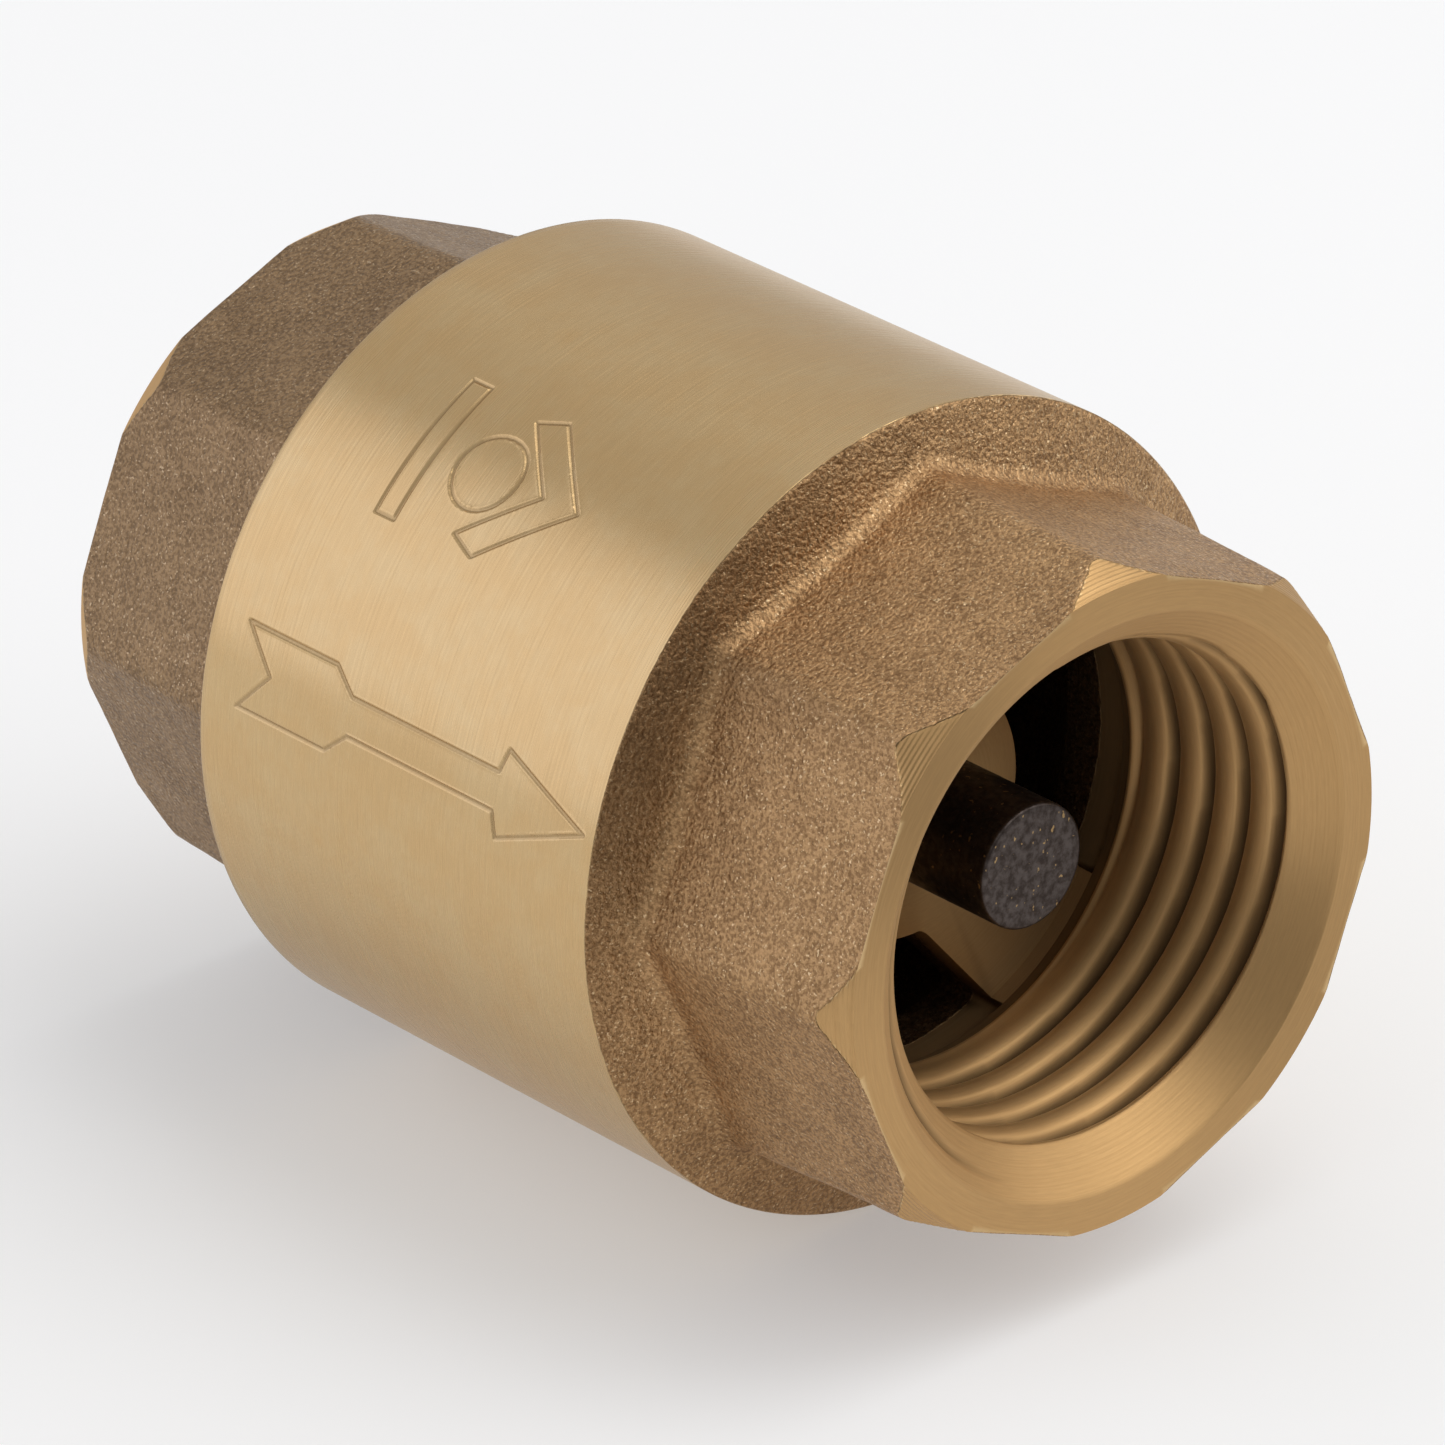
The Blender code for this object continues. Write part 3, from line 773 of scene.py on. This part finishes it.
# spider: three arms and the guide hub, cast in one with the body

spider = {
    "armAngles": (-50.0, 70.0, 190.0),
    "armHalf": 2.9,
    "hubRadius": 5.0,
    "hubBore": 2.7,
    "hubBack": 25.2,
    "armBack": 29.1,
    "front": 31.9,
    "rimEnd": 32.6,
    "rimRadius": 9.72,
    "windowRadius": 10.2,
    "outerRadius": 10.7,
    "cornerRound": 0.5,
    "edge": 0.12,
    # painted shade on the spider: a little on the front face, more towards the rim, dark behind the front
    "frontShade": 0.18,
    "rimShade": 0.4,
    "rimFrom": 9.3,
    "rimFade": 0.6,
    "backShade": 0.75,
}


def makeWindowCutter(angle):
    # a window between two arms: a ring sector with straight sides along the arms
    s = spider
    shape = bmesh.new()
    between = 360 / len(s["armAngles"])
    points = []
    for radius, order in ((s["windowRadius"], 1), (s["hubRadius"], -1)):
        lean = math.degrees(math.asin(s["armHalf"] / radius))
        sweep = [angle + lean + (between - 2 * lean) * i / 20 for i in range(21)][::order]
        for turn in sweep:
            across = math.radians(turn)
            points.append(shape.verts.new(((s["armBack"] - 1) * mm, radius * math.cos(across) * mm,
                                           radius * math.sin(across) * mm)))
    face = shape.faces.new(points)
    grown = bmesh.ops.extrude_face_region(shape, geom=[face])
    moved = [g for g in grown["geom"] if isinstance(g, bmesh.types.BMVert)]
    bmesh.ops.translate(shape, verts=moved, vec=((s["rimEnd"] + 1.6 - s["armBack"]) * mm, 0, 0))
    bmesh.ops.recalc_face_normals(shape, faces=shape.faces)
    long = [e for e in shape.edges if abs(e.verts[0].co.x - e.verts[1].co.x) > mm]
    corners = [e for e in long if e.calc_face_angle(0) > math.radians(35)]
    bmesh.ops.bevel(shape, geom=corners, offset=s["cornerRound"] * mm, offset_type="OFFSET", affect="EDGES",
                    segments=5, profile=0.5, material=-1)
    mesh = bpy.data.meshes.new("windowCutter")
    shape.to_mesh(mesh)
    shape.free()
    cutter = bpy.data.objects.new("windowCutter", mesh)
    bpy.context.scene.collection.objects.link(cutter)
    return cutter


def makeSpider():
    s = spider
    profile = [(s["hubBack"], s["hubBore"]), (s["front"], s["hubBore"]),
               (s["front"], s["rimRadius"]), (s["rimEnd"], s["rimRadius"]),
               (s["rimEnd"], s["outerRadius"]), (s["armBack"], s["outerRadius"]),
               (s["armBack"], s["hubRadius"]), (s["hubBack"], s["hubRadius"])]
    shape = turnProfile(profile, 144)
    mesh = bpy.data.meshes.new("outletSpider")
    shape.to_mesh(mesh)
    shape.free()
    piece = bpy.data.objects.new("outletSpider", mesh)
    bpy.context.scene.collection.objects.link(piece)
    cutters = [makeWindowCutter(angle) for angle in s["armAngles"]]
    for cutter in cutters:
        cut = piece.modifiers.new("window", "BOOLEAN")
        cut.operation = "DIFFERENCE"
        cut.solver = "EXACT"
        cut.object = cutter
    soften = piece.modifiers.new("edges", "BEVEL")
    soften.width = s["edge"] * mm
    soften.segments = 3
    soften.limit_method = "ANGLE"
    soften.angle_limit = math.radians(40)
    bpy.context.view_layer.update()
    solid = bpy.data.meshes.new_from_object(piece.evaluated_get(bpy.context.evaluated_depsgraph_get()))
    bpy.data.objects.remove(piece)
    for cutter in cutters:
        bpy.data.objects.remove(cutter)
    shape = bmesh.new()
    shape.from_mesh(solid)
    x, r, angle = cylindrical(shape)
    atFront = x > s["front"] - 0.2
    # painted shade: a little on the front face, more towards the rim, and dark on everything behind the front
    shadedFace = s["frontShade"] + np.clip((r - s["rimFrom"]) / s["rimFade"], 0, 1) * s["rimShade"]
    paintedShade = np.where(atFront, shadedFace, s["backShade"])
    values = {"turned": np.where(atFront, 1.0, -1.0), "paintedShade": paintedShade,
              "engraved": np.zeros(len(x)), "bore": np.ones(len(x)), "chamfer": np.zeros(len(x))}
    return finishPiece("outletSpider", shape, "housing", outletBrass, 35, values)


makeSpider()
print("spider done")

# inlet cap: octagon end with its thread, and the spigot that carries the seat

capStart = nodeBox("inlet_cap")[0]
cap = {
    "octagonEnd": 10.1,
    "rowStep": 0.33,
    "spigotRadius": 11.5,
    "grooveFrom": 12.9,
    "grooveTo": 14.9,
    "grooveRadius": 9.9,
    "spigotEnd": 15.6,
    "lipOuter": 7.7,
    "lipInner": 7.1,
    "lipEnd": 16.2,
    "throat": 6.8,
    "seatDepth": 0.5,
    "edge": 0.2,
}


def capProfile():
    # section of the cap in mm, from the inlet face round the outside, then back through the bore
    plan = cap
    ring, end, spigot = nose["faceCircle"], plan["octagonEnd"], plan["spigotRadius"]
    inner = capStart + thread["length"] + 0.02
    profile = faceRows(capStart, 1, nose, 0)
    profile += [(x, ring) for x in spaced(1.6, end - 0.1, plan["rowStep"])]
    profile += [(end - 0.1, ring), (end - 0.03, ring), (end, 12.08), (end, spigot + 0.02)]
    profile += [(plan["grooveFrom"], spigot), (plan["grooveFrom"], plan["grooveRadius"])]
    profile += [(plan["grooveTo"], plan["grooveRadius"]), (plan["grooveTo"], spigot)]
    profile += [(plan["spigotEnd"] - plan["edge"], spigot), (plan["spigotEnd"], spigot - plan["edge"])]
    profile += [(plan["spigotEnd"], plan["lipOuter"]), (plan["lipEnd"], plan["lipOuter"] - 0.06)]
    profile += [(plan["lipEnd"], plan["lipInner"] + 0.06)]
    profile += [(plan["lipEnd"] - plan["seatDepth"], plan["throat"])]
    profile += [(capStart + thread["length"] + 0.25, plan["throat"]), (inner, plan["throat"] + 0.25)]
    profile += [(inner, thread["minor"])]
    profile += threadRows(capStart, 1, thread)
    return profile + [(capStart, r) for r in nose["faceRings"]]


def makeInletCap():
    shape = turnProfile(capProfile(), nose["spinSteps"])
    x, r, angle = cylindrical(shape)
    angle = crowdCorners(angle, nose["cornerCrowding"])
    threaded = (x < capStart + thread["length"] + 0.01) & (r < thread["mouthRadius"] - 0.01)
    r[threaded] = threadBore(x[threaded], angle[threaded], thread, capStart, 1)[0]
    outer = r > nose["faceCircle"] - 0.01
    r[outer] = noseSkin(x[outer] - capStart, angle[outer], nose, 0, nose["inletSeed"])[0]
    moveVerts(shape, x, r, angle)
    turned = np.full(len(x), 1.0)
    outer = (r > 12.09) & (x < cap["octagonEnd"] + 0.01)
    turned[outer] = noseSkin(x[outer] - capStart, angle[outer], nose, 0, nose["inletSeed"])[1]
    # painted shade in the thread grooves
    paintedShade = np.zeros(len(x))
    bored = (x < capStart + thread["length"] + 0.01) & (r < thread["mouthRadius"] - 0.005)
    paintedShade[bored] = threadBore(x[bored], angle[bored], thread, capStart, 1)[1]
    values = {"turned": turned, "paintedShade": paintedShade, "engraved": np.zeros(len(x)),
              "bore": np.where(turned > 0, 1.0, 0.0), "chamfer": np.zeros(len(x))}
    print("inlet cap", len(shape.verts), "vertices")
    return finishPiece("inletCap", shape, "housing", inletBrass, nose["sharpAngle"],
                       values, thread["mouthRadius"] - 0.1)


inletCap = makeInletCap()
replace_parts(inletCap, "inlet_cap")

# guide stem

stemStart, stemEnd, stemRadius = nodeBox("valve_stem")
stem = {
    "threadRadius": 2.0,
    "threadPitch": 0.7,
    "threadTo": 17.0,
    "threadDepth": 0.38,
    "lead": 0.45,
    "chamfer": 0.14,
}


def makeStem():
    edge = stem["chamfer"]
    tip = stem["threadRadius"] - stem["lead"]
    profile = [(stemStart, 0), (stemStart, tip)]
    profile += [(x, stem["threadRadius"]) for x in spaced(stemStart + 0.3, stem["threadTo"], 0.07)]
    profile += [(stem["threadTo"], stem["threadRadius"]), (stem["threadTo"] + 0.02, stemRadius)]
    profile += [(x, stemRadius) for x in spaced(stem["threadTo"] + 0.4, stemEnd - edge - 0.05, 0.6)]
    profile += [(stemEnd - edge - 0.05, stemRadius), (stemEnd - edge * 0.55, stemRadius - edge * 0.12)]
    profile += [(stemEnd - edge * 0.15, stemRadius - edge * 0.45), (stemEnd, stemRadius - edge)]
    profile += [(stemEnd, r) for r in (stemRadius * 0.8, stemRadius * 0.5, stemRadius * 0.2, 0)]
    shape = turnProfile(profile, 96, closed=False)
    x, r, angle = cylindrical(shape)
    cut = (x > stemStart + 0.25) & (x < stem["threadTo"] - 0.01) & (r > 1)
    wave = 0.5 + 0.5 * np.cos(math.tau * (x[cut] / stem["threadPitch"] - angle[cut] / math.tau))
    r[cut] = np.minimum(r[cut] - stem["threadDepth"] * wave, tip + (x[cut] - stemStart))
    moveVerts(shape, x, r, angle)
    return finishPiece("valveStem", shape, "poppet", stemSteel, 40)


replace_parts(makeStem(), "valve_stem")
print("stem done")

# the small inner pieces, each with broken edges

inner = {
    "threadBore": 2.3,
    "discBack": 20.2,
    "discFace": 18.6,
    "discRim": 8.7,
    "bossRadius": 4.8,
    "washerBore": 5.3,
    "lockSlotHalf": 0.4,
    "nutFlats": 7.0,
    "nutChamferLean": 27.0,
    "discEdge": 0.15,
    "nutEdge": 0.15,
    "nutBlend": 0.08,
    "lockEdge": 0.08,
    "sealEdge": 0.22,
    "retainerEdge": 0.2,
    "washerEdge": 0.1,
}
coil = {
    "wire": 0.325,
    "radius": 5.725,
    "pitch": 1.74,
    "endPitch": 1.25,
    "stepsPerTurn": 72,
    "wireSides": 20,
    "lift": 3.5,
}


def softened(profile, edge):
    # a closed profile with each corner rounded off by about edge mm
    result = []
    count = len(profile)
    for i in range(count):
        here = np.array(profile[i])
        sides = [np.array(profile[i - 1]) - here, np.array(profile[(i + 1) % count]) - here]
        reach = min(edge, *(np.linalg.norm(side) * 0.45 for side in sides))
        start, end = (here + side / np.linalg.norm(side) * reach for side in sides)
        for t in (0, 0.25, 0.5, 0.75, 1):
            result.append(tuple((1 - t) ** 2 * start + 2 * t * (1 - t) * here + t * t * end))
    return result


def makeRing(profile, edge, steps=128):
    return turnProfile(softened(profile, edge), steps)


def blockProfile(low, high, innerRadius, outerRadius):
    return [(low, innerRadius), (high, innerRadius), (high, outerRadius), (low, outerRadius)]


def makePoppetDisc():
    low, high, outer = nodeBox("poppet_disc")
    n = inner
    profile = [(high, n["bossRadius"]), (n["discBack"], n["bossRadius"]),
               (n["discBack"], outer), (low, outer),
               (low, n["discRim"]), (n["discFace"], n["discRim"]),
               (n["discFace"], n["threadBore"]), (high, n["threadBore"])]
    return makeRing(profile, n["discEdge"], 160)


def makeStemNut():
    # a hexagon whose outer corners are turned off, over a plain bore
    low, high, _ = nodeBox("stem_nut")
    reach = inner["nutFlats"] / math.sqrt(3)
    bore, edge, blend = inner["threadBore"], inner["nutEdge"], inner["nutBlend"]
    rows = [low] + spaced(low + 0.02, low + 0.8, 0.05) + spaced(low + 0.8, high, 0.3) + [high]
    profile = [(x, reach) for x in rows]
    profile += [(high, bore + edge), (high - edge, bore), (low + edge, bore), (low, bore + edge)]
    shape = turnProfile(profile, 144)
    x, r, angle = cylindrical(shape)
    outer = r > reach - 0.01
    sector = (angle[outer] - math.pi / 2 + math.pi / 6) % (math.pi / 3) - math.pi / 6
    hexagon = inner["nutFlats"] / 2 / np.cos(math.pi / 6 - np.abs(sector))
    crown = inner["nutFlats"] / 2 - 0.05 + (x[outer] - low) / math.tan(math.radians(inner["nutChamferLean"]))
    r[outer] = softMin(softMin(hexagon, crown, blend), np.full(len(hexagon), reach - 0.05), blend)
    moveVerts(shape, x, r, angle)
    return shape


def makeLockWasher():
    # a split ring, with a small gap between its ends
    low, high, outer = nodeBox("lock_washer")
    shape = bmesh.new()
    profile = softened(blockProfile(low, high, inner["threadBore"], outer), inner["lockEdge"])
    gap = inner["lockSlotHalf"] / outer
    points = [shape.verts.new((x * mm, 0, r * mm)) for x, r in profile]
    ring = [shape.edges.new(pair) for pair in zip(points, points[1:] + points[:1])]
    bmesh.ops.rotate(shape, verts=points, cent=(0, 0, 0), matrix=Matrix.Rotation(math.pi + gap, 3, "X"))
    made = bmesh.ops.spin(shape, geom=points + ring, cent=(0, 0, 0), axis=(1, 0, 0), dvec=(0, 0, 0),
                          angle=math.tau - 2 * gap, steps=96, use_merge=False, use_duplicate=False)
    far = [g for g in made["geom_last"] if isinstance(g, bmesh.types.BMEdge)]
    bmesh.ops.contextual_create(shape, geom=far)
    bmesh.ops.contextual_create(shape, geom=ring)
    bmesh.ops.recalc_face_normals(shape, faces=shape.faces)
    return shape


def makeSpring():
    # round wire swept along a helix, with a closer turn at each end and flat-cut tips
    low, high, _ = nodeBox("closing_spring")
    c = coil
    bottom, top = low + c["wire"], high - c["wire"]
    middleTurns = (top - bottom - 2 * c["endPitch"]) / c["pitch"]
    turns = middleTurns + 2
    count = round(turns * c["stepsPerTurn"]) + 1
    turn = np.linspace(0, turns, count)
    height = np.minimum(turn, 1) * c["endPitch"]
    height += np.clip(turn - 1, 0, middleTurns) * c["pitch"]
    height += np.maximum(turn - 1 - middleTurns, 0) * c["endPitch"]
    shape = bmesh.new()
    rings = []
    for rise, angle in zip(height, turn * math.tau):
        outward = Vector((0, math.sin(angle), -math.cos(angle)))
        ring = []
        for side in range(c["wireSides"]):
            lean = math.tau * side / c["wireSides"]
            away = outward * (c["radius"] + c["wire"] * math.cos(lean))
            station = Vector((bottom + rise + c["wire"] * math.sin(lean), 0, 0))
            ring.append(shape.verts.new((away + station) * mm))
        rings.append([shape.edges.new(pair) for pair in zip(ring, ring[1:] + ring[:1])])
    for first, second in zip(rings, rings[1:]):
        bmesh.ops.bridge_loops(shape, edges=first + second)
    for ring in (rings[0], rings[-1]):
        bmesh.ops.contextual_create(shape, geom=ring)
    bmesh.ops.recalc_face_normals(shape, faces=shape.faces)
    return shape


def makeInnerPieces():
    bore = inner["threadBore"]
    low, high, outer = nodeBox("poppet_seal")
    seal = makeRing(blockProfile(low, high, bore, outer), inner["sealEdge"], 160)
    low, high, outer = nodeBox("seal_retainer")
    retainer = makeRing(blockProfile(low, high, bore, outer), inner["retainerEdge"])
    low, high, outer = nodeBox("spring_washer")
    washer = makeRing(blockProfile(low, high, inner["washerBore"], outer), inner["washerEdge"], 144)
    rings = [(makePoppetDisc(), "poppetDisc", "poppet_disc", "poppet", innerBrass, "turned_brass"),
             (seal, "poppetSeal", "poppet_seal", "poppet", sealRubber, "nitrile"),
             (retainer, "sealRetainer", "seal_retainer", "poppet", innerBrass, "turned_brass"),
             (makeLockWasher(), "lockWasher", "lock_washer", "poppet", springSteel, "spring_steel"),
             (makeStemNut(), "stemNut", "stem_nut", "poppet", springSteel, "spring_steel"),
             (washer, "springWasher", "spring_washer", "housing", springSteel, "spring_steel")]
    for shape, name, node, body, material, slot in rings:
        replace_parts(finishPiece(name, shape, body, material, 35), node)
    spring = finishPiece("closingSpring", makeSpring(), "housing", springSteel, 50)
    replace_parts(spring, "closing_spring")
    low, high, _ = nodeBox("closing_spring")
    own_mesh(spring)


makeInnerPieces()
print("inner pieces done")

# the O-ring keeps its CAD shape

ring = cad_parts["body_o_ring"]
for index in range(len(ring.material_slots)):
    ring.material_slots[index].material = sealRubber

# floor, light and camera

studio = {
    "floorWhite": 0.66,
    "floorInGloss": 0.62,
    "room": 0.58,
    "darkRoom": 0.0,
    "darkTurn": -5.0,
    "darkLift": -4.0,
    "darkFloorFrom": 0.08,
    "darkFloorTo": 0.13,
    "floorGlow": 0.30,
    "glossGlow": 0.85,
    "softboxTurn": 224.0,
    "softboxLift": 21.0,
    "softboxAway": 0.55,
    "softboxSize": (0.55, 0.48),
    "softboxPower": 0.49,
    "softboxColour": (0.95, 1.0, 1.22),
    "sideTurn": 45.0,
    "sideLift": 33.0,
    "sideAway": 0.6,
    "sideSize": (0.9, 0.36),
    "sidePower": 1.1,
    "sideRoll": -18.0,
    "overheadTurn": 60.0,
    "overheadLift": 68.0,
    "overheadAway": 0.9,
    "overheadSize": 0.7,
    "overheadPower": 2.6,
}
cameraPlan = {
    "aim": (26.38, -4.142, 2.860),
    "turn": -41.185,
    "lift": 26.510,
    "roll": -0.957,
    "away": 386.8,
    "lens": 270.1,
    "film": 36.0,
}


def direction(turn, lift):
    turn, lift = math.radians(turn), math.radians(lift)
    return Vector((math.cos(lift) * math.cos(turn), math.cos(lift) * math.sin(turn), math.sin(lift)))


def addArea(name, turn, lift, away, size, power, roll=0.0):
    lamp = bpy.data.lights.new(name, "AREA")
    lamp.shape = "RECTANGLE"
    lamp.size, lamp.size_y = size
    lamp.energy = power
    holder = bpy.data.objects.new(name, lamp)
    bpy.context.scene.collection.objects.link(holder)
    line = direction(turn, lift)
    holder.location = line * away + Vector((0.021, 0, 0))
    turned = line.to_track_quat("Z", "Y").to_matrix() @ Matrix.Rotation(math.radians(roll), 3, "Z")
    holder.rotation_euler = turned.to_euler()
    return holder


def makeStudio():
    shape = bmesh.new()
    bmesh.ops.create_grid(shape, x_segments=4, y_segments=4, size=3.0)
    bmesh.ops.translate(shape, verts=shape.verts, vec=(0, 0, cadBox[0][2] - 0.00005))
    mesh = bpy.data.meshes.new("floor")
    shape.to_mesh(mesh)
    shape.free()
    floor = bpy.data.objects.new("floor", mesh)
    bpy.context.scene.collection.objects.link(floor)
    material, tree, shader, place = newMaterial("floorPaper")
    ray = tree.add("ShaderNodeLightPath")
    white, grey = studio["floorWhite"], studio["floorInGloss"]
    near = tree.ramp(tree.add("ShaderNodeSeparateXYZ", {0: place}).outputs[0], studio["darkFloorFrom"],
                     studio["darkFloorTo"], 1.0, 0.0)
    shine = tree.mix(near, (0.0, 0.0, 0.0), (grey,) * 3)
    tree.put(shader.inputs["Base Color"], tree.mix(ray.outputs["Is Glossy Ray"], (white,) * 3, shine))
    glow = tree.math("MULTIPLY", near, studio["glossGlow"])
    seen = tree.math("MAXIMUM", ray.outputs["Is Camera Ray"],
                     tree.math("MULTIPLY", ray.outputs["Is Glossy Ray"], glow))
    shader.inputs["Emission Color"].default_value = (1, 1, 1, 1)
    tree.put(shader.inputs["Emission Strength"], tree.math("MULTIPLY", seen, studio["floorGlow"]))
    shader.inputs["Roughness"].default_value = 0.9
    shader.inputs["Specular IOR Level"].default_value = 0.0
    mesh.materials.append(material)
    world = bpy.data.worlds.new("room")
    world.use_nodes = True
    sky = Tree(world.node_tree)
    back = world.node_tree.nodes["Background"]
    facing = sky.add("ShaderNodeVectorMath", {0: sky.add("ShaderNodeTexCoord").outputs["Generated"],
                                              1: direction(studio["darkTurn"], studio["darkLift"])},
                     operation="DOT_PRODUCT").outputs["Value"]
    back.inputs[0].default_value = (1.0, 1.0, 1.0, 1)
    sky.put(back.inputs[1], sky.ramp(facing, 0.78, 0.92, studio["room"], studio["darkRoom"]))
    bpy.context.scene.world = world
    key = addArea("softbox", studio["softboxTurn"], studio["softboxLift"], studio["softboxAway"],
                  studio["softboxSize"], studio["softboxPower"])
    key.data.color = studio["softboxColour"]
    addArea("sideBox", studio["sideTurn"], studio["sideLift"], studio["sideAway"], studio["sideSize"],
            studio["sidePower"], studio["sideRoll"])
    addArea("overhead", studio["overheadTurn"], studio["overheadLift"], studio["overheadAway"],
            (studio["overheadSize"],) * 2, studio["overheadPower"])


def makeCamera():
    plan = cameraPlan
    lens = bpy.data.cameras.new("camera")
    lens.lens = plan["lens"]
    lens.sensor_width = plan["film"]
    lens.clip_start = 0.01
    holder = bpy.data.objects.new("camera", lens)
    bpy.context.scene.collection.objects.link(holder)
    line = direction(plan["turn"], plan["lift"])
    turned = line.to_track_quat("Z", "Y").to_matrix().to_4x4()
    roll = Matrix.Rotation(math.radians(plan["roll"]), 4, "Z")
    place = Matrix.Translation(Vector(plan["aim"]) * mm + line * plan["away"] * mm)
    holder.matrix_world = place @ turned @ roll
    bpy.context.scene.camera = holder


makeStudio()
makeCamera()
bpy.context.scene.view_settings.view_transform = "Standard"
print("studio done")
